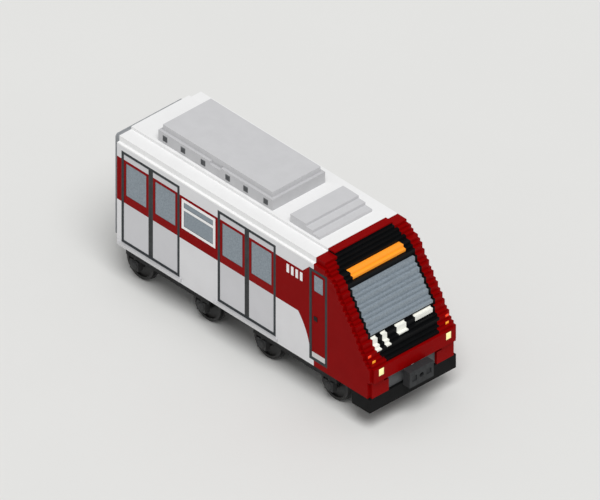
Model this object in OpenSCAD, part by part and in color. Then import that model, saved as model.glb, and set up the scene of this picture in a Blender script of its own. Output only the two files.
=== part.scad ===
// Metro car with one driving cab, standing on two bogies.
// X runs along the track towards the nose, Y to the left side, Z up from the ground.
// Stations along X are measured from the rear end wall, heights from the lower body edge.

/* [Saloon shell] */
// Length from the rear end wall to the cab joint
saloon_l = 6160; // [6100:10:6600]
// Width over the side walls
body_w = 2520; // [2440:10:2700]
// Thickness of the side walls and of the end wall
wall_t = 70; // [60:1:80]
// Height of the lower body edge over the ground
sill_z = 870; // [850:1:960]
// Height of the side walls
wall_h = 2625; // [2580:1:2800]
// Height of the floor over the lower body edge
floor_z = 140; // [130:1:170]
// Thickness of the floor
floor_t = 70; // [50:1:80]
// Width of the sole bars under the floor
sole_bar_w = 105; // [80:1:120]
// Length of the floor in front of the cab joint
cab_floor_l = 1010; // [960:5:1040]

/* [Roof] */
// Height of the gutter lip on top of the walls
gutter_h = 35; // [20:1:50]
// Width of the gutter
gutter_w = 70; // [50:1:90]
// Height of the roof shoulder over the gutter
shoulder_h = 140; // [110:1:170]
// Width of the roof shoulder
shoulder_w = 350; // [250:5:420]
// Height of the roof crown over the shoulder
crown_h = 70; // [40:1:90]
// Thickness of the roof at its crown
roof_t = 130; // [90:1:160]

/* [Livery] */
// Height of the cantrail over the red band
cantrail_h = 315; // [285:5:345]
// Height of the red band
band_h = 1120; // [1050:5:1210]
// Length of the sweep of the red band behind the cab door
sweep_l = 350; // [250:10:450]
// Height of that sweep
sweep_h = 700; // [500:10:800]
// Radius of that sweep
sweep_r = 1700; // [1500:10:2500]
// Rise of the red band at the top of the cab door
band_rise = 210; // [100:5:210]

/* [Passenger doors] */
// Width over a door frame
door_w = 1820; // [1700:10:1860]
// Height of the wall over a door frame
door_top = 105; // [85:5:145]
// Station of the rear door frame
rear_door_x = 140; // [100:5:180]
// Width of the frame bars
frame_bar = 70; // [50:1:80]
// Width of the rubber nosing on a leaf
nosing_w = 70; // [40:1:80]
// Gap between the two nosings of a door
door_seam = 4; // [2:0.5:8]
// Thickness of the door leaves
leaf_t = 40; // [30:1:50]
// Depth of the leaf face behind the wall face
leaf_inset = 6; // [4:1:12]
// Border between the leaf edge and its pane
pane_border = 70; // [50:1:100]
// Distance of the leaf panes from the top of the leaf
pane_drop = 210; // [170:5:250]
// Height of the leaf panes
pane_h = 840; // [740:5:900]
// Thickness of all side panes
pane_t = 10; // [6:1:14]
// Depth of the side panes behind the face of their leaf or frame
pane_in = 4; // [2:1:8]
// Reach of the door step outside the wall
step_out = 70; // [40:1:90]
// Height of the door step
step_h = 70; // [40:1:80]
// Length of the door step past the frame at each end
step_past = 70; // [0:5:90]

/* [Side window] */
// Gap between the side window frame and the door frames
window_gap = 70; // [40:5:140]
// Drop of the window frame under the upper edge of the red band
window_drop = 70; // [20:5:110]
// Height over the window frame
window_h = 770; // [690:5:840]
// Distance of the transom's lower edge from the top of the window frame
transom_drop = 280; // [240:5:390]
// Depth that the window frame stands out of the wall
window_proud = 6; // [4:1:20]

/* [Side vents] */
// Distance of the first vent slat from the cab door frame
vent_back = 700; // [640:5:770]
// Width of a vent slat
slat_w = 70; // [40:1:80]
// Distance from slat to slat
slat_pitch = 140; // [100:1:150]
// Number of slats on each side
slat_count = 4; // [3:1:5]
// Drop of the slats under the upper edge of the red band
slat_drop = 70; // [30:5:160]
// Height of the slats
slat_h = 210; // [150:5:260]
// Depth that the slats stand out of the wall
slat_proud = 12; // [6:1:20]

/* [Cab doors] */
// Distance of the cab door frame behind the cab joint
cab_door_back = 140; // [120:5:180]
// Width over the cab door frame
cab_door_w = 560; // [540:5:640]
// Thickness of the cab door leaf
cab_leaf_t = 45; // [36:1:50]
// Running gap round the cab door leaf
cab_leaf_gap = 6; // [5:0.5:8]
// Distance of the cab door pane from the top of the leaf
cab_pane_drop = 70; // [50:5:150]
// Height of the cab door pane
cab_pane_h = 420; // [330:5:580]
// Radius of the hinge barrel
barrel_r = 14; // [12:0.5:16]
// Radius of the hinge pin
hinge_pin_r = 8; // [6:0.5:9]
// Length of the hinge barrel
barrel_l = 110; // [80:5:160]
// Distance of the hinge axis from the leaf's front edge
hinge_edge = 20; // [16:1:26]
// Distance of the hinge axis from the leaf's inner face
hinge_back = 10; // [9:0.5:12]
// Height of the hinge brackets
bracket_h = 40; // [30:1:50]
// Height of the lowest hinge over the floor
hinge_low = 300; // [200:5:400]
// Distance of the highest hinge from the top of the door frame
hinge_drop = 440; // [340:5:500]
// Height of the door handle over the floor
handle_h = 1055; // [1000:5:1250]
// Side of the square door handle
handle_w = 110; // [80:1:130]
// Thickness of the door handle
handle_t = 12; // [8:1:16]

/* [Nose] */
// Distance of the brow's upper end from the cab joint
cab_roof_l = 175; // [165:5:240]
// Distance of the rake's upper end, where the brow begins, from the cab joint
brow_reach = 715; // [690:5:740]
// Distance of the rake's foot on the bumper from the cab joint
foot_reach = 1750; // [1720:5:1760]
// Height and depth of one course of the stepped nose
course = 70; // [60:1:80]
// Thickness of the nose panels behind the rake
nose_t = 150; // [140:5:170]
// Distance of the bumper face from the cab joint
bumper_reach = 1820; // [1800:5:1880]
// Lower edge of the bumper
bumper_low = 420; // [400:5:450]
// Upper edge of the bumper
bumper_high = 770; // [740:5:800]
// Depth of the bumper from face to back
bumper_t = 245; // [230:5:260]
// Thickness of the red cap over the black mask
cap_t = 30; // [20:1:50]
// Height of the panel joints over the course edges
joint_rise = 2; // [1:0.5:4]

/* [Nose panels] */
// Lower edge of the windscreen
screen_low = 1330; // [1290:5:1400]
// Distance of the windscreen from the car's side
screen_in = 350; // [330:5:410]
// Width of the black mask beside the windscreen
mask_border = 70; // [50:1:90]
// Drop of the destination panel's lower edge under the top of the walls
sign_drop = 245; // [225:5:285]
// Gap between the windscreen and the destination panel
sign_gap = 140; // [100:5:200]
// Height of the destination panel
sign_h = 140; // [100:5:180]
// Distance of the destination panel's ends from the windscreen's sides
sign_in = 140; // [90:5:300]
// Height of each step at the lower corners of the black mask
mask_step = 105; // [80:5:120]
// Distance of the blank plates from the windscreen
plate_gap = 35; // [20:5:60]
// Width of the two narrow plates, and of the gap between them
narrow_plate_w = 140; // [100:5:150]
// Height of the narrow plates
narrow_plate_h = 280; // [200:5:300]
// Width of the middle plate
middle_plate_w = 280; // [200:5:320]
// Height of the middle plate
middle_plate_h = 210; // [150:5:260]
// Distance of the middle plate's middle from the car's middle
middle_plate_y = 70; // [0:5:80]
// Width of the long plate
long_plate_w = 510; // [400:5:560]
// Height of the long plate
long_plate_h = 140; // [100:5:200]
// Distance of the long plate from the windscreen's side
long_plate_in = 70; // [40:5:100]
// Distance of the headlamps from the car's side
headlamp_in = 210; // [180:5:240]
// Width of the headlamps
headlamp_w = 140; // [100:5:160]
// Height of the headlamps
headlamp_h = 175; // [120:5:190]
// Height of the headlamps over the bumper's lower edge
headlamp_rise = 140; // [100:5:150]
// Width of the tail and indicator lamps
marker_w = 95; // [70:1:105]
// Height of the tail and indicator lamps
marker_h = 66; // [50:1:68]
// Distance of the tail lamps from the car's side
tail_in = 84; // [80:1:100]
// Height of the tail lamps over the bumper
tail_rise = 195; // [160:5:200]
// Distance of the indicator lamps from the car's side
indicator_in = 145; // [90:1:160]
// Height of the indicator lamps over the bumper
indicator_rise = 70; // [20:5:90]

/* [Coupler] */
// Thickness of the headstock in front of the cab floor
headstock_t = 35; // [25:1:40]
// Distance of the coupler pivot from the cab floor
pivot_out = 140; // [135:1:160]
// Thickness of the clevis plates at the pivot
clevis_t = 30; // [20:1:34]
// Half width of the clevis plates
clevis_half = 70; // [60:1:80]
// Height of the coupler axis over the lower body edge
coupler_z = 210; // [205:1:215]
// Distance of the coupler head's back from the bumper face
head_out = 0; // [0:1:30]
// Depth of the coupler head
head_d = 210; // [160:5:260]
// Width of the coupler head
head_w = 700; // [600:5:720]
// Height of the coupler head
head_h = 400; // [300:5:405]
// Radius of the coupler shank
shank_r = 60; // [50:1:70]
// Radius of the coupler pivot pin
pivot_r = 45; // [35:1:50]
// Radius of the centring cup in the coupler face
cup_r = 60; // [40:1:70]
// Depth of the centring cup
cup_d = 120; // [80:5:140]
// Side of the square electric contact pockets on the coupler face
contact_w = 140; // [100:5:160]
// Depth of the contact pockets
contact_d = 25; // [15:1:40]
// Distance of the contact pockets from the coupler's middle
contact_y = 210; // [150:5:250]
// Half width of the slot for the shank in the coupler housing
slot_half = 200; // [190:5:240]
// Gap over and under the shank in that slot
slot_gap = 20; // [10:1:30]
// Half width of the coupler housing
housing_half = 700; // [640:5:740]
// Width of the step at each upper corner of the coupler housing
housing_step_w = 140; // [100:5:160]
// Height of that step
housing_step_h = 105; // [70:5:120]

/* [Front apron] */
// Depth of the apron under the lower body edge
apron_h = 350; // [280:5:400]
// Thickness of the apron plate
apron_t = 70; // [40:1:80]
// Length of the apron's side returns
apron_return = 560; // [400:10:700]

/* [Gangway] */
// Length of the gangway bellows
gangway_l = 350; // [280:10:420]
// Depth of the bellows under the lower body edge
gangway_low = 60; // [0:5:60]
// Distance of the bellows from the car's side
gangway_in = 280; // [240:5:320]
// Drop of the bellows top under the top of the walls
gangway_drop = 65; // [40:5:120]
// Thickness of the bellows wall
gangway_t = 160; // [140:5:180]
// Depth of the bellows folds
fold_d = 45; // [20:1:60]
// Number of bellows folds
fold_count = 5; // [3:1:6]
// Distance of the gangway doorway from the car's side
doorway_in = 560; // [520:5:640]
// Height of the end wall over the gangway doorway
lintel_h = 385; // [330:5:460]
// Thickness of the gangway footplate
footplate_t = 40; // [20:1:50]

/* [Roof units] */
// Station of the air conditioning unit
unit_x = 770; // [700:10:900]
// Gap between the air conditioning unit and the front roof unit
unit_gap = 560; // [400:10:700]
// Distance of both roof units from the edge of the roof crown
unit_in = 70; // [40:5:140]
// Height of the unit housing
unit_h = 280; // [240:5:320]
// Ledge between the housing and its lid
lid_inset = 70; // [40:1:90]
// Height of the unit lid
lid_h = 140; // [100:5:180]
// Side of the square intake grilles
intake_w = 140; // [100:5:160]
// Depth of the intake pockets
intake_d = 20; // [10:1:30]
// Distance of the outer intakes from the unit's ends
intake_first = 140; // [100:5:200]
// Distance from the first to the second intake of each group of three
intake_second = 560; // [400:5:600]
// Distance from the first to the third intake of each group of three
intake_third = 1190; // [1000:5:1250]
// Length of the notch in the ledge between the groups
notch_l = 350; // [250:5:450]
// Depth of that notch
notch_h = 70; // [40:1:90]
// Distance of the front roof unit's rear end from the cab joint
pod_back = 1260; // [1160:10:1300]
// Length of the top of the front roof unit
pod_l = 490; // [400:10:560]
// Length of each tread of the front roof unit
pod_tread = 210; // [150:5:220]
// Height of each step of the front roof unit
pod_step = 70; // [50:1:80]

/* [Bogies] */
// Station of the rear bogie centre
rear_bogie_x = 1435; // [1420:5:1500]
// Distance of the front bogie centre behind the cab joint
front_bogie_back = 735; // [700:5:800]
// Distance between the axles of a bogie
wheelbase = 2100; // [2040:10:2160]
// Track gauge
track_gauge = 1676; // [1600:1:1700]
// Diameter of the wheel tread
wheel_d = 840; // [800:5:850]
// Height of the wheel flange
flange_h = 28; // [25:0.5:32]
// Thickness of the wheel flange
flange_t = 28; // [24:0.5:32]
// Width of the wheel rim
rim_w = 135; // [120:1:140]
// Thickness of the wheel rim
rim_t = 65; // [50:1:75]
// Thickness of the wheel web
web_t = 30; // [24:1:40]
// Thickness of the wheel hub round the axle
hub_t = 60; // [45:1:70]
// Length that the hub stands out of the rim on both faces
hub_past = 10; // [5:1:14]
// Radius of the axle
axle_r = 80; // [70:1:90]
// Radius of the axle journals
journal_r = 65; // [55:1:68]
// Depth of the journal's end inside the axlebox
journal_in = 20; // [10:1:30]
// Gap between the wheel and the side beam
beam_gap = 40; // [25:1:50]
// Width of the bogie side beams
beam_w = 140; // [110:1:150]
// Height of the bogie side beams
beam_h = 120; // [90:1:130]
// Length that the side beams reach past the axles
beam_past = 250; // [180:5:280]
// Height of the side beams' lower face over the axle
beam_over_axle = 172; // [160:1:190]
// Length of the bogie transom along the track
transom_l = 360; // [320:5:400]
// Height of the bogie transom
transom_h = 140; // [110:1:150]
// Radius of the bogie centre pin
centre_pin_r = 70; // [60:1:80]
// Distance of the air springs from the car's middle
air_spring_y = 800; // [750:5:830]
// Radius of the air springs
air_spring_r = 170; // [140:5:175]
// Width of the axleboxes along the track
axlebox_l = 260; // [220:5:280]
// Height of the axleboxes
axlebox_h = 250; // [220:5:260]
// Radius of the axlebox springs
box_spring_r = 60; // [50:1:65]

/* [Underfloor] */
// Length of the traction case, half way between the bogies
case_l = 740; // [600:10:780]
// Gap between the traction case's sides and the planes of the wheel hubs
case_gap = 50; // [40:5:150]
// Height of the traction case
case_h = 370; // [300:5:420]
// Height of the bolster beams
bolster_h = 60; // [40:1:65]

/* [Clearances] */
// Gap between parts that turn on each other
turn_gap = 0.3; // [0.2:0.1:0.5]
// Gap between parts that move past each other
pass_gap = 6; // [5:0.5:8]

/* [Hidden] */
$fn = 64;

half_w = body_w / 2;
inner_half = half_w - wall_t;
gutter_top = wall_h + gutter_h;
shoulder_top = gutter_top + shoulder_h;
crown_top = shoulder_top + crown_h;
crown_half = half_w - gutter_w - shoulder_w;
ceiling = crown_top - roof_t;
floor_end = saloon_l + cab_floor_l;
band_high = wall_h - cantrail_h;
band_low = band_high - band_h;
door_h = wall_h - floor_z - door_top;
// Two equal bays: one between the doors, one between the front door and the cab joint
bay_l = (saloon_l - rear_door_x - 2 * door_w) / 2;
door_stations = [rear_door_x, rear_door_x + door_w + bay_l];
window_x = rear_door_x + door_w + window_gap;
window_w = bay_l - 2 * window_gap;
window_high = band_high - window_drop;
window_low = window_high - window_h;
transom_low = window_high - transom_drop;
cab_door_x = saloon_l - cab_door_back;
vent_x = cab_door_x - vent_back;
slat_low = band_high - slat_drop - slat_h;
bumper_x = saloon_l + bumper_reach;
bumper_back = bumper_x - bumper_t;
skirt_x = bumper_x - course;
sign_low = wall_h - sign_drop;
screen_high = sign_low - sign_gap;
screen_half = half_w - screen_in;
sign_half = screen_half - sign_in;
gangway_top = wall_h - gangway_drop;
gangway_half = half_w - gangway_in;
doorway_half = half_w - doorway_in;
doorway_h = wall_h - floor_z - lintel_h;
pod_x = saloon_l - pod_back;
unit_l = pod_x - unit_gap - unit_x;
unit_half = crown_half - unit_in;
front_bogie_x = saloon_l - front_bogie_back;
coupler_reach = bumper_x + head_out + head_d;
// The origin lies half way between the bellows end and the coupler face.
origin_x = (coupler_reach - gangway_l) / 2;
leaf_w = (door_w - 2 * frame_bar) / 2 - nosing_w;
leaf_h = door_h - 2 * frame_bar;
leaf_low = floor_z + frame_bar;
leaf_high = leaf_low + leaf_h;
pane_low = leaf_high - pane_drop - pane_h;
cab_pane_low = leaf_high - cab_pane_drop - cab_pane_h;
cab_leaf_w = cab_door_w - 2 * frame_bar - 2 * cab_leaf_gap;
cab_leaf_h = leaf_h - 2 * cab_leaf_gap;
cab_leaf_x = cab_door_x + frame_bar + cab_leaf_gap;
cab_hinge_x = cab_leaf_x + cab_leaf_w - hinge_edge;
cab_hinge_y = -half_w + leaf_inset + cab_leaf_t + hinge_back;
pivot_x = floor_end + pivot_out;
axle_z = wheel_d / 2 + flange_h;
wheel_back = track_gauge / 2 - flange_t;
wheel_face = wheel_back + rim_w;
beam_in = wheel_face + beam_gap;
beam_low = axle_z + beam_over_axle;
case_half = wheel_back - hub_past - case_gap;
case_x = (rear_bogie_x + front_bogie_x - case_l) / 2;
// Setback of the cab sides behind the nose face
side_setback = course;

// Black mask from the bumper up: [upper edge, half width]
mask_rows = [
    [bumper_high + mask_step, screen_half - 2 * mask_border],
    [bumper_high + 2 * mask_step, screen_half - mask_border],
    [screen_low - course + joint_rise, screen_half],
    [screen_high + course + joint_rise, screen_half + mask_border],
    [gutter_top - course + joint_rise, screen_half + mask_border],
    [shoulder_top - course + joint_rise, screen_half],
    [crown_top - cap_t, crown_half]];
// Blank white plates under the windscreen: [place of the right end across the car, width, height]
plates = [
    [-screen_half, narrow_plate_w, narrow_plate_h],
    [-screen_half + 2 * narrow_plate_w, narrow_plate_w, narrow_plate_h],
    [-middle_plate_y - middle_plate_w / 2, middle_plate_w, middle_plate_h],
    [screen_half - long_plate_in - long_plate_w, long_plate_w, long_plate_h]];
// Lamps on each side: [distance from the side, width, lower edge, height]
headlamp_box = [headlamp_in, headlamp_w, bumper_low + headlamp_rise, headlamp_h];
tail_lamp_box = [tail_in, marker_w, bumper_high + tail_rise, marker_h];
indicator_box = [indicator_in, marker_w, bumper_high + indicator_rise, marker_h];
// Openings of the coupler housing in the front skirt: [half width, lower edge]
housing_rows = [[housing_half, 0], [housing_half + housing_step_w, bumper_low - housing_step_h]];

// Places children on the car body, whose heights count from the lower body edge.
module on_body() translate([-origin_x, 0, sill_z]) children();
// Places children at a station, with heights from the ground.
module at_station(x) translate([x - origin_x, 0, 0]) children();
// Extrudes a drawing in X and Z from one Y to another.
module across(y0, y1) translate([0, y1, 0]) rotate([90, 0, 0]) linear_extrude(y1 - y0) children();
// Extrudes a drawing in Y and Z along X.
module along(x0, x1) translate([x0, 0, 0]) rotate([90, 0, 90]) linear_extrude(x1 - x0) children();
// Extrudes a drawing in X and Z into the right wall, from its outer face inwards.
module in_wall(inset, depth) across(-half_w + inset, -half_w + inset + depth) children();
module left_side() mirror([0, 1, 0]) children();
module both_sides() {
    children();
    mirror([0, 1, 0]) children();
}
module rect(x, z, w, h) translate([x, z]) square([w, h]);
module block(x0, x1, y0, y1, z0, z1) translate([x0, y0, z0]) cube([x1 - x0, y1 - y0, z1 - z0]);

// Frame drawing with bars of one width.
module frame_2d(x, z, w, h, bar) difference() {
    rect(x, z, w, h);
    rect(x + bar, z + bar, w - 2 * bar, h - 2 * bar);
}

module door_openings() for (x = door_stations) rect(x, floor_z, door_w, door_h);
module cab_door_opening() rect(cab_door_x, floor_z, cab_door_w, door_h);
module window_opening() rect(window_x, window_low, window_w, window_h);

// Part of the lower wall that the red sweep takes over, outside an arc through the sweep's two ends.
sweep_chord = norm([sweep_l, sweep_h]);
sweep_rest = sqrt(sweep_r * sweep_r - sweep_chord * sweep_chord / 4) / sweep_chord;
sweep_centre = [cab_door_x - sweep_l / 2 - sweep_h * sweep_rest, band_low - sweep_h / 2 - sweep_l * sweep_rest];
module sweep_corner() difference() {
    rect(cab_door_x - sweep_l, band_low - sweep_h, sweep_l, sweep_h);
    translate(sweep_centre) circle(sweep_r);
}
module rise_corner() polygon([
    [cab_door_x - band_rise, band_high], [cab_door_x, band_high], [cab_door_x, band_high + band_rise]]);

// Underframe
module floor() color("#3A3D40") on_body()
    block(0, floor_end, -inner_half, inner_half, floor_z - floor_t, floor_z);
module sole_bars() color("#2B2D2F") on_body() both_sides()
    block(0, floor_end, -inner_half, -inner_half + sole_bar_w, 0, floor_z - floor_t);
module bolsters() color("#2B2D2F") for (x = [rear_bogie_x, front_bogie_x]) on_body() {
    bolster_top = floor_z - floor_t;
    block(x - transom_l / 2, x + transom_l / 2, -inner_half + sole_bar_w, inner_half - sole_bar_w,
        bolster_top - bolster_h, bolster_top);
    translate([x, 0, beam_low - sill_z])
        cylinder(r = centre_pin_r, h = bolster_top - bolster_h + sill_z - beam_low);
}
module headstock() color("#2B2D2F") on_body() {
    clevis_gap = shank_r + pass_gap;
    block(floor_end, floor_end + headstock_t, -inner_half, inner_half, 0, coupler_z + clevis_gap + clevis_t);
    for (z = [coupler_z - clevis_gap - clevis_t, coupler_z + clevis_gap])
        block(floor_end, pivot_x + clevis_half, -clevis_half, clevis_half, z, z + clevis_t);
    translate([pivot_x, 0, coupler_z - clevis_gap - clevis_t])
        cylinder(r = pivot_r, h = 2 * (clevis_gap + clevis_t));
}

// Side walls
module wall_2d() difference() {
    square([saloon_l, band_low]);
    door_openings();
    window_opening();
    cab_door_opening();
    sweep_corner();
}
module band_2d() difference() {
    union() {
        rect(0, band_low, cab_door_x, band_high - band_low);
        sweep_corner();
        rise_corner();
    }
    door_openings();
    window_opening();
}
module cantrail_2d() difference() {
    rect(0, band_high, saloon_l, wall_h - band_high);
    door_openings();
    cab_door_opening();
    rise_corner();
}
module wall_right() color("#D3D3D5") on_body() in_wall(0, wall_t) wall_2d();
module wall_left() color("#D3D3D5") on_body() left_side() in_wall(0, wall_t) wall_2d();
module band_right() color("#8A0607") on_body() in_wall(0, wall_t) band_2d();
module band_left() color("#8A0607") on_body() left_side() in_wall(0, wall_t) band_2d();
module cantrails() color("#DADADC") on_body() both_sides() in_wall(0, wall_t) cantrail_2d();
module end_wall() color("#CFCFD1") on_body() difference() {
    block(0, wall_t, -inner_half, inner_half, floor_z, wall_h);
    block(-1, wall_t + 1, -doorway_half, doorway_half, floor_z - 1, floor_z + doorway_h);
}

// Roof: outer section of the whole car body, as a half outline mirrored about the middle
section_half = [[half_w, wall_h], [half_w, gutter_top], [half_w - gutter_w, gutter_top],
    [half_w - gutter_w, shoulder_top], [crown_half, shoulder_top], [crown_half, crown_top]];
module roof_section() polygon(concat(section_half,
    [for (i = [len(section_half) - 1:-1:0]) [-section_half[i][0], section_half[i][1]]]));
module ceiling_section() polygon([[crown_half, ceiling], [inner_half - gutter_w, wall_h],
    [-inner_half + gutter_w, wall_h], [-crown_half, ceiling]]);
module roof() color("#F4F4F4") on_body() difference() {
    along(0, saloon_l) roof_section();
    along(wall_t, saloon_l + 1) translate([0, -0.01]) ceiling_section();
}

// Passenger doors
module door_frames() in_wall(0, wall_t) for (x = door_stations) frame_2d(x, floor_z, door_w, door_h, frame_bar);
// Each leaf's rear edge, counted from the door frame
leaf_offsets = [frame_bar, frame_bar + leaf_w + 2 * nosing_w];
module each_leaf() for (x = door_stations, offset = leaf_offsets) translate([x + offset, 0]) children();
module leaf_pane_2d() rect(pane_border, pane_low, leaf_w - 2 * pane_border, pane_h);
module door_leaves() in_wall(leaf_inset, leaf_t) each_leaf() difference() {
    rect(0, leaf_low, leaf_w, leaf_h);
    leaf_pane_2d();
}
module door_frames_right() color("#33383A") on_body() door_frames();
module door_frames_left() color("#33383A") on_body() left_side() door_frames();
module door_leaves_right() color("#C6C6C9") on_body() door_leaves();
module door_leaves_left() color("#C6C6C9") on_body() left_side() door_leaves();
module door_nosings() color("#33383A") on_body() both_sides() in_wall(leaf_inset, leaf_t)
    for (x = door_stations, start = [-nosing_w, door_seam / 2])
        rect(x + door_w / 2 + start, leaf_low, nosing_w - door_seam / 2, leaf_h);
module door_panes() color("#7F8D96") on_body() both_sides()
    in_wall(leaf_inset + pane_in, pane_t) each_leaf() leaf_pane_2d();
module door_steps() color("#CFCFD1") on_body() both_sides() for (x = door_stations)
    block(x - step_past, x + door_w + step_past, -half_w - step_out, -half_w, floor_z - step_h, floor_z);

// Side window with a transom
module window_frames() color("#F4F4F4") on_body() both_sides() in_wall(-window_proud, wall_t + window_proud) {
    frame_2d(window_x, window_low, window_w, window_h, frame_bar);
    rect(window_x + frame_bar, transom_low, window_w - 2 * frame_bar, frame_bar);
}
module window_panes() color("#7F8D96") on_body() both_sides() in_wall(pane_in - window_proud, pane_t) {
    pane_w = window_w - 2 * frame_bar;
    rect(window_x + frame_bar, window_low + frame_bar, pane_w, transom_low - window_low - frame_bar);
    rect(window_x + frame_bar, transom_low + frame_bar, pane_w, transom_drop - 2 * frame_bar);
}
module vent_slats() color("#F4F4F4") on_body() both_sides() in_wall(-slat_proud, slat_proud)
    for (i = [0:slat_count - 1]) rect(vent_x + i * slat_pitch, slat_low, slat_w, slat_h);

// Nose: courses of one height, each stepped to the nearest whole course of a straight rake under a flatter brow
function slant(z, z0, reach0, z1, reach1) = reach0 + (reach1 - reach0) * (z - z0) / (z1 - z0);
function nose_reach(z) = z > sign_low ? slant(z, sign_low, brow_reach, crown_top, cab_roof_l)
    : slant(z, bumper_high, foot_reach, sign_low, brow_reach);
function nose_face(z) = z < bumper_low ? skirt_x : z < bumper_high ? bumper_x
    : saloon_l + course * round(nose_reach(z) / course);
course_count = ceil(crown_top / course);
function nose_steps(setback) = [for (i = [0:course_count - 1], edge = [0, 1])
    [nose_face((i + 0.5) * course) - setback, min((i + edge) * course, crown_top)]];
module nose_outline(setback) polygon(concat([[saloon_l, 0]], nose_steps(setback), [[saloon_l, crown_top]]));
// Room behind the nose panels: one thickness behind the rake and the brow, flat behind the bumper,
// and closed by the cab roof at the height of the walls
room_x = saloon_l - nose_t;
module nose_room() {
    polygon([[room_x, bumper_high], [room_x + foot_reach, bumper_high], [room_x + brow_reach, sign_low],
        [room_x + nose_reach(wall_h), wall_h], [room_x, wall_h]]);
    rect(room_x, -course, bumper_back - room_x, bumper_high + course + joint_rise);
}
module nose_skin() across(-inner_half, inner_half) difference() {
    nose_outline(0);
    nose_room();
}
module body_section() along(saloon_l, bumper_x + 1) polygon(concat([[-half_w, 0], [half_w, 0]], section_half,
    [for (i = [len(section_half) - 1:-1:0]) [-section_half[i][0], section_half[i][1]]]));
// All of the stepped nose between the cab sides
module nose_shell() intersection() {
    nose_skin();
    body_section();
}
// Cut from the front, as deep as the nose panels at the roof, so that the cab roof stays whole behind it
module nose_cut(y0, y1, z0, z1) block(saloon_l + cab_roof_l - nose_t, bumper_x + 1, y0, y1, z0, z1);
module mask_cut() for (i = [0:len(mask_rows) - 1]) nose_cut(-mask_rows[i][1], mask_rows[i][1],
    i == 0 ? bumper_high + joint_rise : mask_rows[i - 1][0], mask_rows[i][0]);
module screen_cut() nose_cut(-screen_half, screen_half, screen_low + joint_rise, screen_high + joint_rise);
module sign_cut() nose_cut(-sign_half, sign_half, sign_low + joint_rise, sign_low + sign_h + joint_rise);
module plate_cuts() for (plate = plates) nose_cut(plate[0], plate[0] + plate[1],
    screen_low - plate_gap - plate[2] + joint_rise, screen_low - plate_gap + joint_rise);
module lamp_cuts(box) both_sides()
    nose_cut(-half_w + box[0], -half_w + box[0] + box[1], box[2] + joint_rise, box[2] + box[3] + joint_rise);
module housing_cut() for (row = housing_rows) nose_cut(-row[0], row[0], row[1] - 1, bumper_low);
module nose_piece() intersection() {
    nose_shell();
    children();
}
module nose() color("#8A0607") on_body() difference() {
    nose_shell();
    mask_cut();
    housing_cut();
    lamp_cuts(headlamp_box);
    lamp_cuts(tail_lamp_box);
    lamp_cuts(indicator_box);
}
module mask() color("#111213") on_body() difference() {
    nose_piece() mask_cut();
    screen_cut();
    sign_cut();
    plate_cuts();
}
module windscreen() color("#7F8D96") on_body() nose_piece() screen_cut();
module destination_panel() color("#FF9A20") on_body() nose_piece() sign_cut();
module front_plates() color("#FAFAF2") on_body() nose_piece() plate_cuts();
module headlamps() color("#FFFBB8") on_body() nose_piece() lamp_cuts(headlamp_box);
module tail_lamps() color("#FF4000") on_body() nose_piece() lamp_cuts(tail_lamp_box);
module indicator_lamps() color("#FFA020") on_body() nose_piece() lamp_cuts(indicator_box);

// Cab sides
module cab_side() in_wall(0, wall_t) difference() {
    intersection() {
        nose_outline(side_setback);
        rect(saloon_l, 0, bumper_reach, gutter_top);
    }
    cab_door_opening();
}
module cab_side_right() color("#8A0607") on_body() cab_side();
module cab_side_left() color("#8A0607") on_body() left_side() cab_side();

// Cab doors: the leaf turns inwards on pins at its front edge
hinge_high = door_h - hinge_drop;
hinge_stations = [for (h = [hinge_low, (hinge_low + hinge_high) / 2, hinge_high]) floor_z + h];
module hinge_brackets() for (z = hinge_stations) {
    bracket_low = z + barrel_l + pass_gap;
    translate([cab_hinge_x, cab_hinge_y, z]) cylinder(r = hinge_pin_r, h = bracket_low + bracket_h - z);
    block(cab_hinge_x, cab_door_x + cab_door_w - frame_bar / 2, cab_hinge_y - hinge_pin_r + 1,
        -half_w + wall_t, bracket_low, bracket_low + bracket_h);
}
module cab_door_frame() {
    in_wall(0, wall_t) frame_2d(cab_door_x, floor_z, cab_door_w, door_h, frame_bar);
    hinge_brackets();
}
module cab_door_frames() color("#33383A") on_body() both_sides() cab_door_frame();
module cab_pane_2d() rect(cab_door_x + 2 * frame_bar, cab_pane_low, cab_door_w - 4 * frame_bar, cab_pane_h);
module cab_door() difference() {
    union() {
        in_wall(leaf_inset, cab_leaf_t) difference() {
            rect(cab_leaf_x, leaf_low + cab_leaf_gap, cab_leaf_w, cab_leaf_h);
            cab_pane_2d();
        }
        for (z = hinge_stations) translate([cab_hinge_x, cab_hinge_y, z])
            cylinder(r = barrel_r, h = barrel_l);
    }
    for (z = hinge_stations) translate([cab_hinge_x, cab_hinge_y, z - 1])
        cylinder(r = hinge_pin_r + turn_gap, h = barrel_l + 2);
}
module cab_pane() in_wall(leaf_inset + pane_in, pane_t) cab_pane_2d();
module cab_handle() in_wall(leaf_inset - handle_t, handle_t)
    rect(cab_door_x + 2 * frame_bar, floor_z + handle_h, handle_w, handle_w);
module cab_door_right() color("#8A0607") on_body() cab_door();
module cab_pane_right() color("#7F8D96") on_body() cab_pane();
module cab_handle_right() color("#2B2D2F") on_body() cab_handle();
module cab_door_left() color("#8A0607") on_body() left_side() cab_door();
module cab_pane_left() color("#7F8D96") on_body() left_side() cab_pane();
module cab_handle_left() color("#2B2D2F") on_body() left_side() cab_handle();

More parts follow.
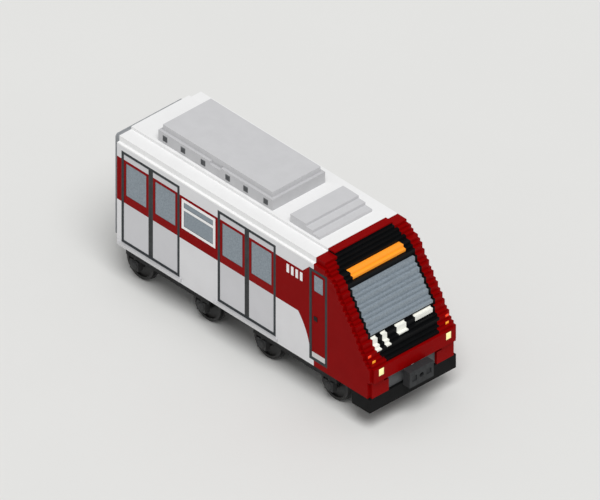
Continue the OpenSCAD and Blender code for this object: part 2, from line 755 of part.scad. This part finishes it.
// Coupler with its housing, and the apron under the nose
module coupler_housing() color("#4A4C4E") on_body() difference() {
    for (row = housing_rows)
        block(bumper_back, skirt_x - course, -row[0], row[0], row[1], bumper_low);
    block(bumper_back - 1, skirt_x, -slot_half, slot_half,
        coupler_z - shank_r - slot_gap, coupler_z + shank_r + slot_gap);
}
module coupler() color("#3C3E40") on_body() difference() {
    head_x = bumper_x + head_out;
    union() {
        translate([pivot_x, 0, coupler_z]) rotate([0, 90, 0]) cylinder(r = shank_r, h = head_x - pivot_x + 1);
        translate([pivot_x, 0, coupler_z - shank_r]) cylinder(r = 2 * pivot_r, h = 2 * shank_r);
        block(head_x, head_x + head_d, -head_w / 2, head_w / 2, coupler_z - head_h / 2, coupler_z + head_h / 2);
    }
    translate([pivot_x, 0, coupler_z - shank_r - 1])
        cylinder(r = pivot_r + turn_gap, h = 2 * shank_r + 2);
    translate([coupler_reach - cup_d, 0, coupler_z]) rotate([0, 90, 0]) cylinder(r = cup_r, h = cup_d + 1);
    for (y = [-contact_y, contact_y]) block(coupler_reach - contact_d, coupler_reach + 1,
        y - contact_w / 2, y + contact_w / 2, coupler_z - contact_w / 2, coupler_z + contact_w / 2);
}
module front_apron() color("#1E2022") on_body() difference() {
    block(skirt_x - apron_return, skirt_x, -half_w, half_w, -apron_h, 0);
    block(skirt_x - apron_return - 1, skirt_x - apron_t, -half_w + apron_t, half_w - apron_t, -apron_h - 1, 1);
}

// Gangway
fold_l = gangway_l / (2 * fold_count);
module ring_2d(shrink) difference() {
    translate([-gangway_half + shrink, -gangway_low + shrink])
        square([2 * (gangway_half - shrink), gangway_top + gangway_low - 2 * shrink]);
    translate([-gangway_half + gangway_t, floor_z - footplate_t])
        square([2 * (gangway_half - gangway_t), gangway_top - gangway_t - floor_z + footplate_t]);
}
module bellows() color("#55585B") on_body() for (i = [0:2 * fold_count - 1])
    along(-gangway_l + i * fold_l, -gangway_l + (i + 1) * fold_l) ring_2d(i % 2 == 0 ? 0 : fold_d);
module footplate() color("#8A8D90") on_body()
    block(-gangway_l, 0, -doorway_half, doorway_half, floor_z - footplate_t, floor_z);

// Roof units
intake_groups = [unit_x + intake_first, unit_x + unit_l - intake_first - intake_w - intake_third];
intake_low = crown_top + (unit_h - intake_w) / 2;
module intake_boxes() both_sides() for (start = intake_groups, offset = [0, intake_second, intake_third])
    translate([start + offset, -unit_half, intake_low]) cube([intake_w, intake_d, intake_w]);
module unit_notches() both_sides() translate([unit_x + (unit_l - notch_l) / 2, -unit_half - 1, 0])
    block(0, notch_l, 0, lid_inset + 1, crown_top + unit_h - notch_h, crown_top + unit_h + 1);
module roof_unit() color("#BDBDBF") on_body() difference() {
    block(unit_x, unit_x + unit_l, -unit_half, unit_half, crown_top, crown_top + unit_h);
    intake_boxes();
    unit_notches();
}
module roof_unit_lid() color("#CDCDCF") on_body() block(unit_x + lid_inset, unit_x + unit_l - lid_inset,
    -unit_half + lid_inset, unit_half - lid_inset, crown_top + unit_h, crown_top + unit_h + lid_h);
module intakes() color("#4C4F52") on_body() intake_boxes();
module front_roof_unit() color("#CDCDCF") on_body() across(-unit_half, unit_half) for (i = [0:2])
    rect(pod_x, crown_top, pod_l + i * pod_tread, (3 - i) * pod_step);

// Heavy electrical gear under the floor
module traction_case() color("#2B2D2F") on_body()
    block(case_x, case_x + case_l, -case_half, case_half, floor_z - floor_t - case_h, floor_z - floor_t);

// Bogies
module bogie() difference() {
    union() {
        both_sides() block(-wheelbase / 2 - beam_past, wheelbase / 2 + beam_past, beam_in, beam_in + beam_w,
            beam_low, beam_low + beam_h);
        block(-transom_l / 2, transom_l / 2, -beam_in, beam_in, beam_low, beam_low + transom_h);
    }
    translate([0, 0, beam_low - 1]) cylinder(r = centre_pin_r + turn_gap, h = transom_h + 2);
}
module axleboxes() both_sides() for (x = [-wheelbase / 2, wheelbase / 2]) difference() {
    union() {
        block(x - axlebox_l / 2, x + axlebox_l / 2, beam_in, beam_in + beam_w,
            axle_z - axlebox_h / 2, axle_z + axlebox_h / 2);
        translate([x, beam_in + beam_w / 2, axle_z]) cylinder(r = box_spring_r, h = beam_over_axle);
    }
    translate([x, beam_in - 1, axle_z]) rotate([-90, 0, 0]) cylinder(r = journal_r + turn_gap, h = beam_w + 2);
}
module air_springs() both_sides() translate([0, air_spring_y, beam_low + transom_h])
    cylinder(r = air_spring_r, h = sill_z + floor_z - floor_t - bolster_h - pass_gap - beam_low - transom_h);
module bogie_rear() color("#2B2D2F") at_station(rear_bogie_x) bogie();
module axleboxes_rear() color("#3C3E40") at_station(rear_bogie_x) axleboxes();
module air_springs_rear() color("#1E2022") at_station(rear_bogie_x) air_springs();
module bogie_front() color("#2B2D2F") at_station(front_bogie_x) bogie();
module axleboxes_front() color("#3C3E40") at_station(front_bogie_x) axleboxes();
module air_springs_front() color("#1E2022") at_station(front_bogie_x) air_springs();

// Wheels: section through the wheel, [radius, distance from the wheel's back]
tread_r = wheel_d / 2;
hub_r = axle_r + hub_t;
rim_in = tread_r - rim_t;
web_back = (rim_w - web_t) / 2;
web_front = (rim_w + web_t) / 2;
flange_r = tread_r + flange_h;
wheel_section = [[axle_r + turn_gap, -hub_past], [hub_r, -hub_past], [hub_r, web_back], [rim_in, web_back],
    [rim_in, 0], [flange_r - flange_t / 3, 0], [flange_r, flange_t / 3], [flange_r, flange_t / 2],
    [tread_r, flange_t], [tread_r, rim_w], [rim_in, rim_w], [rim_in, web_front], [hub_r, web_front],
    [hub_r, rim_w + hub_past], [axle_r + turn_gap, rim_w + hub_past]];
module wheelset() translate([0, 0, axle_z]) {
    both_sides() translate([0, wheel_back, 0]) rotate([-90, 0, 0])
        rotate_extrude($fn = 96) polygon(wheel_section);
    rotate([90, 0, 0]) cylinder(r = axle_r, h = 2 * (wheel_face + hub_past), center = true);
    rotate([90, 0, 0]) cylinder(r = journal_r, h = 2 * (beam_in + beam_w - journal_in), center = true);
}
module wheelset_1() color("#26282A") at_station(rear_bogie_x - wheelbase / 2) wheelset();
module wheelset_2() color("#26282A") at_station(rear_bogie_x + wheelbase / 2) wheelset();
module wheelset_3() color("#26282A") at_station(front_bogie_x - wheelbase / 2) wheelset();
module wheelset_4() color("#26282A") at_station(front_bogie_x + wheelbase / 2) wheelset();

floor();
sole_bars();
bolsters();
headstock();
wall_right();
wall_left();
band_right();
band_left();
cantrails();
end_wall();
roof();
door_frames_right();
door_frames_left();
door_leaves_right();
door_leaves_left();
door_nosings();
door_panes();
door_steps();
window_frames();
window_panes();
vent_slats();
cab_side_right();
cab_side_left();
cab_door_frames();
cab_door_right();
cab_pane_right();
cab_handle_right();
cab_door_left();
cab_pane_left();
cab_handle_left();
nose();
mask();
windscreen();
destination_panel();
front_plates();
headlamps();
tail_lamps();
indicator_lamps();
coupler_housing();
coupler();
front_apron();
bellows();
footplate();
roof_unit();
roof_unit_lid();
intakes();
front_roof_unit();
traction_case();
bogie_rear();
axleboxes_rear();
air_springs_rear();
bogie_front();
axleboxes_front();
air_springs_front();
wheelset_1();
wheelset_2();
wheelset_3();
wheelset_4();
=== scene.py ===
"""Looks of a metro driving car: finishes for every panel, and the soft and fine pieces as worked surfaces.

Lengths are in metres in the car's own frame: X along the track to the nose, Y to the left side, Z up.
"""

import bmesh
import bpy
import numpy as np
from mathutils import Matrix, Vector


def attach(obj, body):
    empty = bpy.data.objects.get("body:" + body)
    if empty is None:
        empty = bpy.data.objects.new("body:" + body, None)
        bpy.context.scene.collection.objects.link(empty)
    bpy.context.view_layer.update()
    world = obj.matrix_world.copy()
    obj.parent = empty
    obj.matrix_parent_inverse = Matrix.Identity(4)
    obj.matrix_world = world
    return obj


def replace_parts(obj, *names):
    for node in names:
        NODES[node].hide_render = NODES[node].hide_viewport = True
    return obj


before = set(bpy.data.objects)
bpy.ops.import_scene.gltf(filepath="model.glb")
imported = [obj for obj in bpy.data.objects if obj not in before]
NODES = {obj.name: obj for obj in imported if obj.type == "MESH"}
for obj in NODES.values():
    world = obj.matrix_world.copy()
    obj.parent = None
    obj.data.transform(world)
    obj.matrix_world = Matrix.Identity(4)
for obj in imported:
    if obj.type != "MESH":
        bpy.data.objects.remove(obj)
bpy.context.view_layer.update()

MM = 0.001
BOTH_SIDES = (-1, 1)   # right and left, as signs of Y

SILL = 0.870           # lower edge of the body over the ground
STATION = -3.920       # the rear end wall on the X axis; stations and pane edges count forward from it

BOGIES = (("rear", 1.435), ("front", 5.425))   # name and station of each bogie's centre
AXLE_REACH = 1.05      # from a bogie's centre to its axles
AXLE_RISE = 0.448
AXLEBOX_FACE = 1.125   # the boxes' outer faces, from the middle of the car
SPRING_SIDE = 0.800    # the air springs, from the middle of the car
SPRING_FOOT, SPRING_TOP = 0.760, 0.874


# Materials

def linear(code):
    """sRGB hex to linear RGBA: each channel c becomes c/12.92 below 0.04045, else ((c+0.055)/1.055)^2.4."""
    channels = [int(code[i:i + 2], 16) / 255 for i in (1, 3, 5)]
    return [c / 12.92 if c <= 0.04045 else ((c + 0.055) / 1.055) ** 2.4 for c in channels] + [1.0]


def add(tree, kind, links=None, values=None, **settings):
    """Adds one shader node, with its settings, its socket values and the links into it."""
    node = tree.nodes.new("ShaderNode" + kind)
    for key, value in settings.items():
        setattr(node, key, value)
    for socket, value in (values or {}).items():
        node.inputs[socket].default_value = value
    for socket, source in (links or {}).items():
        tree.links.new(source, node.inputs[socket])
    return node


DUST_FOOT = 0.1        # height under which road dust is at its most
RELIEF = 0.35          # strength of the fine relief
ROUGHEST = 1.35        # how much rougher a surface is in the middle of a soft patch


def finish(name, colour, roughness, mottle, grain, shade=0.9, metallic=0.0, gloss=0.5, band=None, dust=None,
           glow=0.0):
    """One finish on Object coordinates.

    mottle is the size in mm of soft patches, which darken the colour to shade times itself and roughen it.
    grain is (size mm, depth mm) of the fine relief. gloss is the level of mirror-like light.
    band is (low, high, colour) of a stripe by height.
    dust is (top, colour, most): road dust that grows from its top height down to the rail.
    """
    material = bpy.data.materials.new(name)
    material.use_nodes = True
    tree = material.node_tree
    tree.nodes.clear()
    place = add(tree, "TexCoord").outputs["Object"]
    height = add(tree, "SeparateXYZ", {"Vector": place}).outputs["Z"]
    patches = add(tree, "TexNoise", {"Vector": place},
                  {"Scale": 1 / (mottle * MM), "Detail": 4.0, "Roughness": 0.6}).outputs["Fac"]
    tone = add(tree, "MapRange", {"Value": patches},
               {"From Min": 0.35, "From Max": 0.7, "To Min": 1.0, "To Max": shade}).outputs[0]
    scaled = add(tree, "VectorMath", {"Scale": tone}, {0: linear(colour)[:3]}, operation="SCALE")
    if band:
        low, high, stripe = band
        over = add(tree, "Math", {0: height}, {1: low}, operation="GREATER_THAN").outputs[0]
        under = add(tree, "Math", {0: height}, {1: high}, operation="LESS_THAN").outputs[0]
        inside = add(tree, "Math", {0: over, 1: under}, operation="MULTIPLY").outputs[0]
        paint = add(tree, "Mix", {"Factor": inside}, {"A": linear(colour), "B": linear(stripe)}, data_type="RGBA")
        tree.links.new(paint.outputs["Result"], scaled.inputs[0])
    toned = scaled.outputs[0]
    if dust:
        top, dirt, most = dust
        fall = add(tree, "MapRange", {"Value": height},
                   {"From Min": top, "From Max": DUST_FOOT, "To Min": 0.0, "To Max": most}).outputs[0]
        film = add(tree, "Math", {0: fall, 1: patches}, operation="MULTIPLY").outputs[0]
        dusted = add(tree, "Mix", {"Factor": film, "A": toned}, {"B": linear(dirt)}, data_type="RGBA")
        toned = dusted.outputs["Result"]
    size, depth = grain
    relief = add(tree, "TexNoise", {"Vector": place}, {"Scale": 1 / (size * MM), "Detail": 2.0}).outputs["Fac"]
    bump = add(tree, "Bump", {"Height": relief}, {"Strength": RELIEF, "Distance": depth * MM}).outputs[0]
    rough = add(tree, "MapRange", {"Value": patches},
                {"From Min": 0.3, "From Max": 0.7, "To Min": roughness,
                 "To Max": min(1.0, roughness * ROUGHEST)}).outputs[0]
    shader = add(tree, "BsdfPrincipled", {"Base Color": toned, "Roughness": rough, "Normal": bump},
                 {"Metallic": metallic, "Specular IOR Level": gloss})
    if glow:
        shader.inputs["Emission Color"].default_value = linear(colour)
        shader.inputs["Emission Strength"].default_value = glow
    add(tree, "OutputMaterial", {"Surface": shader.outputs[0]})
    return material


RED, WALL, ROOF, LEAF = "#8A0304", "#E4E4E6", "#F2F2F2", "#D4D4D7"
KICK_STRIP, DIRT = "#D8D4D4", "#6B6259"
SIDE_BAND = (SILL + 1.190, SILL + 2.310, RED)
KICK_BAND = (0.0, SILL + 0.350, KICK_STRIP)
FLOOR_TOP = (SILL + 0.135, SILL + 0.200, "#6C6F72")

# Two-pack enamel sprayed on steel: an even satin face with a faint orange peel, drawn coarser than the real
# 2 mm so that it shows, and a thin film of brake dust towards the rail.
red_enamel = finish("red_enamel", RED, 0.32, 420, (14, 0.5), 0.93, gloss=0.03, dust=(1.3, DIRT, 0.08))
grey_enamel = finish("grey_enamel", WALL, 0.36, 600, (14, 0.5), 0.965, gloss=0.3, dust=(1.5, DIRT, 0.16))
# Roof enamel, chalked by the weather: white, a little rougher than the sides.
roof_enamel = finish("roof_enamel", ROOF, 0.5, 800, (16, 0.6), 0.965)
# White enamel of the window frames and the vent slats.
trim_enamel = finish("trim_enamel", "#FAFAFA", 0.38, 300, (14, 0.4), 0.97)
# Door leaves carry the side's stripe across their grey enamel.
leaf_enamel = finish("leaf_enamel", LEAF, 0.36, 500, (14, 0.5), 0.965, gloss=0.05, band=SIDE_BAND,
                     dust=(1.4, DIRT, 0.14))
# The cab doors are red, with a pale kick strip at the foot.
cab_leaf_enamel = finish("cab_leaf_enamel", RED, 0.32, 420, (14, 0.5), 0.93, gloss=0.03, band=KICK_BAND)
# Powder coat on the roof plant: pale grey, evenly matt with a fine stipple.
plant_coat = finish("plant_powder_coat", "#C3C3C5", 0.55, 350, (9, 0.7), 0.95)
lid_coat = finish("lid_powder_coat", "#CCCCCE", 0.55, 350, (9, 0.7), 0.95)
# Moulded gloss panel round the windscreen, near black with soft reflections.
mask_moulding = finish("mask_gloss_moulding", "#111213", 0.25, 500, (20, 0.2), 0.85, gloss=0.06)
# Laminated glass with a blue-grey tint, dark behind, with the fine speckle of a printed sun screen.
tinted_glass = finish("tinted_laminated_glass", "#949FA8", 0.12, 36, (60, 0.1), 0.72, gloss=0.2)
# Anodised frames and rubber nosings of the doors: dark grey, matt.
frame_coat = finish("dark_anodised_frame", "#313639", 0.5, 200, (6, 0.3), 0.85, gloss=0.25)
nosing_rubber = finish("nosing_rubber", "#343637", 0.7, 120, (5, 0.5), 0.85)
# Black moulded handles, and the mid grey stove enamel of the pressed intakes.
handle_moulding = finish("handle_moulding", "#17191A", 0.5, 60, (4, 0.3), 0.85, gloss=0.15)
intake_enamel = finish("intake_stove_enamel", "#646668", 0.5, 80, (6, 0.3), 0.85, gloss=0.25)
# Lit panels and lens mouldings, blank: clear plastics with an even face and a little light of their own.
amber_panel = finish("lit_amber_panel", "#FF9D28", 0.35, 200, (8, 0.2), 0.95, glow=0.2)
clear_lens = finish("pale_yellow_lens", "#FFF9B2", 0.15, 60, (10, 0.3), 0.96, glow=0.18)
red_lens = finish("red_lens", "#FF3C00", 0.15, 60, (10, 0.3), 0.95, glow=0.2)
amber_lens = finish("amber_lens", "#FFA82E", 0.15, 60, (10, 0.3), 0.95, glow=0.2)
# White film on the blank plates.
plate_film = finish("white_plate", "#F8F8F0", 0.4, 200, (8, 0.2), 0.97)
# Castings and rolled sections below the floor: matt, with rust-brown dust. The cast iron and the underframe paint
# are dark in themselves and darkened further as painted shade under the body.
cast_iron_and_shade = finish("sand_cast_iron", "#323436", 0.62, 90, (7, 1.2), 0.8, metallic=0.3, dust=(1.2, DIRT, 0.18))
housing_paint = finish("housing_paint", "#626466", 0.55, 250, (10, 0.6), 0.88, gloss=0.3)
# Apron under the nose: its near-black colour is partly black paint and partly painted shade of the shadow beneath
# the nose.
apron_paint_and_shade = finish("apron_black_paint_and_shade", "#111213", 0.5, 250, (10, 0.6), 0.85, gloss=0.08,
                     dust=(1.0, DIRT, 0.05))
# Underframe paint: near black, partly its own paint and partly painted shade under the body.
under_paint_and_shade = finish("underframe_paint", "#1F2123", 0.65, 180, (9, 0.8), 0.8, gloss=0.3, dust=(1.2, DIRT, 0.15))
# Rolled wheel steel: dark and scaled on the web, darkened further as painted shade under the body, with dust thrown
# up by the brakes.
wheel_steel_and_shade = finish("rolled_wheel_steel", "#2A2C2E", 0.45, 70, (6, 0.6), 0.75, metallic=0.5,
                     dust=(1.0, DIRT, 0.2))
# Neoprene-coated cloth of the gangway, and natural rubber of the air springs: matt, with a close grain.
coated_cloth = finish("neoprene_coated_cloth", "#9DA0A3", 0.75, 80, (4, 0.8), 0.85)
spring_rubber = finish("air_spring_rubber", "#1E2021", 0.7, 60, (5, 0.6), 0.8, dust=(1.0, DIRT, 0.2))
# Mill-finish aluminium of steps and footplate, dulled by feet.
step_aluminium = finish("worn_step_aluminium", "#D6D6D8", 0.42, 25, (5, 0.6), 0.9, metallic=0.35)
# Sheet rubber on the floor's top, mid grey with a fine speckle, over the painted underside.
floor_rubber = finish("speckled_floor_rubber", "#1F2123", 0.65, 14, (6, 0.5), 0.72, gloss=0.3, band=FLOOR_TOP)

FINISHES = {
    red_enamel: ["band_right", "band_left", "cab_side_right", "cab_side_left", "nose"],
    grey_enamel: ["wall_right", "wall_left", "cantrails", "end_wall"],
    roof_enamel: ["roof"],
    trim_enamel: ["window_frames", "vent_slats"],
    leaf_enamel: ["door_leaves_right", "door_leaves_left"],
    cab_leaf_enamel: ["cab_door_right", "cab_door_left"],
    plant_coat: ["roof_unit"],
    lid_coat: ["roof_unit_lid", "front_roof_unit"],
    mask_moulding: ["mask"],
    tinted_glass: ["windscreen", "door_panes", "window_panes", "cab_pane_right", "cab_pane_left"],
    frame_coat: ["door_frames_right", "door_frames_left", "cab_door_frames"],
    handle_moulding: ["cab_handle_right", "cab_handle_left"],
    intake_enamel: ["intakes"],
    nosing_rubber: ["door_nosings"],
    amber_panel: ["destination_panel"],
    plate_film: ["front_plates"],
    clear_lens: ["headlamps"],
    red_lens: ["tail_lamps"],
    amber_lens: ["indicator_lamps"],
    cast_iron_and_shade: ["coupler", "axleboxes_rear", "axleboxes_front"],
    housing_paint: ["coupler_housing"],
    apron_paint_and_shade: ["front_apron"],
    floor_rubber: ["floor"],
    under_paint_and_shade: ["sole_bars", "bolsters", "headstock", "traction_case", "bogie_rear", "bogie_front"],
    wheel_steel_and_shade: ["wheelset_1", "wheelset_2", "wheelset_3", "wheelset_4"],
    coated_cloth: ["bellows"],
    spring_rubber: ["air_springs_rear", "air_springs_front"],
    step_aluminium: ["door_steps", "footplate"],
}
for material, names in FINISHES.items():
    for name in names:
        NODES[name].data.materials.clear()
        NODES[name].data.materials.append(material)


# Surfaces

WELD = 1e-6            # points nearer than this become one


def surface(name, points, material, body, close_u=False, close_v=False):
    """A smooth mesh from an array of points (copies, u, v, 3), riding on a body.

    Each copy is a grid of quads, joined to its own start where it is closed.
    """
    copies, nu, nv, _ = points.shape
    index = np.arange(copies * nu * nv).reshape(copies, nu, nv)
    u = np.arange(nu if close_u else nu - 1)[:, None]
    v = np.arange(nv if close_v else nv - 1)[None, :]
    corners = [(0, 0), (1, 0), (1, 1), (0, 1)]
    faces = np.stack([index[:, (u + du) % nu, (v + dv) % nv].ravel() for du, dv in corners], axis=1)
    mesh = bpy.data.meshes.new(name)
    mesh.from_pydata(points.reshape(-1, 3).tolist(), [], faces.tolist())
    mesh.materials.append(material)
    mesh.polygons.foreach_set("use_smooth", np.full(len(faces), True))
    weld = bmesh.new()
    weld.from_mesh(mesh)
    bmesh.ops.remove_doubles(weld, verts=weld.verts, dist=WELD)
    bmesh.ops.recalc_face_normals(weld, faces=weld.faces)
    weld.to_mesh(mesh)
    weld.free()
    piece = bpy.data.objects.new(name, mesh)
    bpy.context.scene.collection.objects.link(piece)
    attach(piece, body)
    return piece


def rounded_loop(half_a, half_b, radius, steps=8):
    """Points and outward normals of a rectangle with round corners: a quarter circle at each corner, in order."""
    turn = np.linspace(0, np.pi / 2, steps)
    angle = (np.arange(4)[:, None] * np.pi / 2 + turn[None, :]).ravel()
    normal = np.stack([np.cos(angle), np.sin(angle)], axis=1)
    middle = np.repeat(np.array([[1, 1], [-1, 1], [-1, -1], [1, -1]]), steps, axis=0)
    return middle * [half_a - radius, half_b - radius] + radius * normal, normal


def revolve(profile, centres, axis, count=48):
    """Profile rows (radius, distance along the axis) turned once round "Y" or "Z" at each centre."""
    angle = np.linspace(0, 2 * np.pi, count, endpoint=False)
    radius, along = profile[:, 0][:, None], profile[:, 1][:, None] + 0 * angle[None, :]
    across, round_ = radius * np.cos(angle), radius * np.sin(angle)
    local = np.stack([across, along, round_] if axis == "Y" else [across, round_, along], axis=-1)
    return np.asarray(centres)[:, None, None, :] + local[None]


def gangway_pleats(folds=5, reach=0.350, wall=0.160, depth=0.045):
    """The bellows: a closed wall section carried round the doorway, between two rounded rectangles.

    Its outer side falls and rises as a cosine, once for each fold, and its inner side ripples a third as deep.
    """
    half_width, half_height, middle = 0.820, 1.150, SILL + 1.250
    inner_round, outer_round = 0.040, 0.070
    t = np.linspace(0, 1, folds * 10 + 1)
    wave = (1 - np.cos(2 * np.pi * folds * t)) / 2
    x = STATION - reach + reach * np.concatenate([t, t[::-1]])
    out = np.concatenate([wall - depth * wave, depth / 3 * wave[::-1]])
    inner, _ = rounded_loop(half_width, half_height, inner_round)
    outer, _ = rounded_loop(half_width + wall, half_height + wall, outer_round)
    ring = inner[:, None, :] + (outer - inner)[:, None, :] * out[None, :, None] / wall
    points = np.stack([np.broadcast_to(x, ring.shape[:2]), ring[..., 0], middle + ring[..., 1]], axis=-1)
    return surface("gangway_pleats", points[None], coated_cloth, "car_body", True, True)


def air_spring_rolls(name, body, station):
    """Two rubber rolls between steel end plates: the radius bulges as the root of a sine, twice from foot to top."""
    waist, bulge = 0.132, 0.038
    plate, thick = 0.120, 0.010
    t = np.linspace(0, 1, 33)
    roll = waist + bulge * np.sqrt(np.abs(np.sin(2 * np.pi * t)))
    rise = SPRING_FOOT + thick + (SPRING_TOP - SPRING_FOOT - 2 * thick) * t
    rows = [[0, SPRING_FOOT], [plate, SPRING_FOOT], [plate, SPRING_FOOT + thick]]
    rows += np.stack([roll, rise], axis=1).tolist()
    rows += [[plate, SPRING_TOP - thick], [plate, SPRING_TOP], [0, SPRING_TOP]]
    centres = [[STATION + station, side * SPRING_SIDE, 0] for side in BOTH_SIDES]
    piece = surface(name, revolve(np.array(rows), centres, "Z"), spring_rubber, body, False, True)
    return piece


def axlebox_covers(name, body, station):
    """Bearing covers: a stepped disc, then a dome that rises as a sine to its middle, turned about each axle."""
    flange, flange_thick = 0.105, 0.012
    cap, cap_thick, crown = 0.084, 0.026, 0.010
    shoulder = [0.088, 0.014]
    t = np.linspace(0, 1, 9)[1:]
    rows = [[flange, 0], [flange, flange_thick], shoulder, [cap, cap_thick]]
    rows += np.stack([cap * (1 - t), cap_thick + crown * np.sin(t * np.pi / 2)], axis=1).tolist()
    axles = [STATION + station + reach for reach in (-AXLE_REACH, AXLE_REACH)]
    points = [revolve(np.array(rows) * [1, side], [[x, side * AXLEBOX_FACE, AXLE_RISE] for x in axles], "Y")
              for side in BOTH_SIDES]
    return surface(name, np.concatenate(points), cast_iron_and_shade, body, False, True)


def intake_louvres(blades=5):
    """Drip blades on each intake: a thin oval section, lower at its outer edge, carried along the intake."""
    unit_rear, unit_half, unit_foot = STATION + 0.770, 0.770, SILL + 2.870
    starts = np.array([0.140, 0.700, 1.330, 2.100, 2.660, 3.290])
    side, lift = 0.140, 0.070
    reach, thick, lean = 0.009, 0.0035, 0.55
    proud, margin = 0.004, 0.006
    t = np.linspace(0, 2 * np.pi, 12, endpoint=False)
    section = np.stack([reach * np.cos(t), thick * np.sin(t) - lean * reach * np.cos(t)], axis=1)
    rise = unit_foot + lift + side * (np.arange(blades) + 0.5) / blades
    ends = np.array([margin, side - margin])
    sign, x, z, along, row = np.meshgrid(np.array(BOTH_SIDES, float), unit_rear + starts, rise, ends,
                                         np.arange(len(t)), indexing="ij")
    out = unit_half + proud + section[row, 0]
    points = np.stack([x + along, sign * out, z + section[row, 1]], axis=-1).reshape(-1, 2, len(t), 3)
    return surface("intake_louvres", points, intake_enamel, "car_body", False, True)


def lens_domes(name, material, slot, x, y, z, width, height, depth):
    """Pressed lenses on both sides: a rectangle that stands out as (1 - u^4)(1 - v^4) times the depth.

    Upright flutes, a cosine of u with seven crests, take up to a quarter of that depth away.
    """
    u, v = np.meshgrid(np.linspace(-1, 1, 57), np.linspace(-1, 1, 17), indexing="ij")
    flutes = 0.875 + 0.125 * np.cos(6 * np.pi * u)
    bulge = depth * (1 - u ** 4) * (1 - v ** 4) * flutes
    dome = np.stack([x + bulge, y + u * width / 2, z + v * height / 2], axis=-1)
    points = np.stack([dome, dome * [1, -1, 1]])
    return surface(name, points, material, "car_body")


def pane_beads(name, panes, sides, body):
    """Rubber beads round panes: a small circle carried round a rounded rectangle.

    panes holds rows (rear edge, lower edge over the sill, width, height, distance of the glass from the middle).
    """
    bead, corner = 0.004, 0.020
    t = np.linspace(0, 2 * np.pi, 8, endpoint=False)
    rings = []
    for rear, low, width, height, out in panes:
        loop, normal = rounded_loop(width / 2 - bead / 2, height / 2 - bead / 2, corner, 5)
        flat = loop[:, None, :] + bead * np.cos(t)[None, :, None] * normal[:, None, :]
        depth = np.broadcast_to(out + bead * np.sin(t), flat.shape[:2])
        x, z = STATION + rear + width / 2 + flat[..., 0], SILL + low + height / 2 + flat[..., 1]
        rings += [np.stack([x, side * depth, z], axis=-1) for side in sides]
    return surface(name, np.array(rings), nosing_rubber, body, True, True)


# Rows of lens_domes: piece, material, slot, then the middle of the lamp's face, width, height and depth.
LAMPS = [
    ("headlamp_lenses", clear_lens, "lamp_white", 4.060, 0.980, 1.5195, 0.128, 0.163, 0.016),
    ("tail_lamp_lenses", red_lens, "lamp_red", 3.850, 1.1285, 1.870, 0.085, 0.056, 0.010),
    ("indicator_lenses", amber_lens, "lamp_amber", 3.920, 1.0675, 1.745, 0.085, 0.056, 0.010),
]
# Rows of pane_beads. Each of the two doorways has two leaves, with the pane one margin inside its leaf.
DOORWAYS, LEAVES, LEAF_MARGIN = (0.140, 3.150), (0.070, 0.980), 0.070
DOOR_PANES = [(door + leaf + LEAF_MARGIN, 1.400, 0.630, 0.840, 1.250) for door in DOORWAYS for leaf in LEAVES]
WINDOW_PANES = [(2.100, 1.540, 0.910, 0.420, 1.262), (2.100, 2.030, 0.910, 0.140, 1.262)]
CAB_PANE = [(6.160, 1.960, 0.280, 0.420, 1.250)]

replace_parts(gangway_pleats(), "bellows")
for end, station in BOGIES:
    springs = air_spring_rolls(f"air_spring_rolls_{end}", f"{end}_bogie", station)
    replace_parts(springs, f"air_springs_{end}")
    axlebox_covers(f"axlebox_covers_{end}", f"{end}_bogie", station)
intake_louvres()
for lamp in LAMPS:
    lens_domes(*lamp)
pane_beads("door_pane_beads", DOOR_PANES, BOTH_SIDES, "car_body")
pane_beads("window_pane_beads", WINDOW_PANES, BOTH_SIDES, "car_body")
pane_beads("cab_pane_bead_right", CAB_PANE, (-1,), "right_cab_door")
pane_beads("cab_pane_bead_left", CAB_PANE, (1,), "left_cab_door")


# Stage, light and camera

FLOOR_REACH = 120.0
SKY_STRENGTH = 0.43
KEY_STRENGTH, KEY_SPREAD = 2.05, 0.6
KEY_FROM = Vector((0.4, -0.27, 0.87))
VIEW_WIDTH = 12.808                          # what the picture's width shows, in metres
VIEW_MIDDLE = Vector((0.4585, 0.0, 2.366))   # the point in the middle of the picture
VIEW_RIGHT, VIEW_UP = Vector((0.6819, 0.7315, 0.0)), Vector((-0.4226, 0.3939, 0.8161))
VIEW_DISTANCE, VIEW_END = 40.0, 200.0


def stage():
    """A plain pale floor, a soft key from the front, an even sky, and a parallel camera at the photo's angle."""
    scene = bpy.context.scene
    floor = bpy.data.meshes.new("floor_sheet")
    corners = [(-1, -1), (1, -1), (1, 1), (-1, 1)]
    floor.from_pydata([(FLOOR_REACH * x, FLOOR_REACH * y, 0) for x, y in corners], [], [(0, 1, 2, 3)])
    floor.materials.append(finish("pale_floor", "#E4E4E2", 0.9, 4000, (40, 0.2), 0.99))
    sheet = bpy.data.objects.new("floor_sheet", floor)
    scene.collection.objects.link(sheet)

    world = bpy.data.worlds.new("studio")
    world.use_nodes = True
    sky = world.node_tree.nodes["Background"].inputs
    sky["Color"].default_value = linear("#FFFFFF")
    sky["Strength"].default_value = SKY_STRENGTH
    scene.world = world

    key = bpy.data.lights.new("key", "SUN")
    key.energy = KEY_STRENGTH
    key.angle = KEY_SPREAD
    lamp = bpy.data.objects.new("key", key)
    lamp.rotation_euler = KEY_FROM.to_track_quat("Z", "Y").to_euler()
    scene.collection.objects.link(lamp)

    camera = bpy.data.cameras.new("camera")
    camera.type = "ORTHO"
    camera.ortho_scale = VIEW_WIDTH
    camera.clip_end = VIEW_END
    eye = bpy.data.objects.new("camera", camera)
    back = VIEW_RIGHT.cross(VIEW_UP).normalized()
    turn = Matrix((VIEW_RIGHT, VIEW_UP, back)).transposed().to_4x4()
    eye.matrix_world = Matrix.Translation(VIEW_MIDDLE + VIEW_DISTANCE * back) @ turn
    scene.collection.objects.link(eye)
    scene.camera = eye
    scene.view_settings.view_transform = "Standard"


stage()
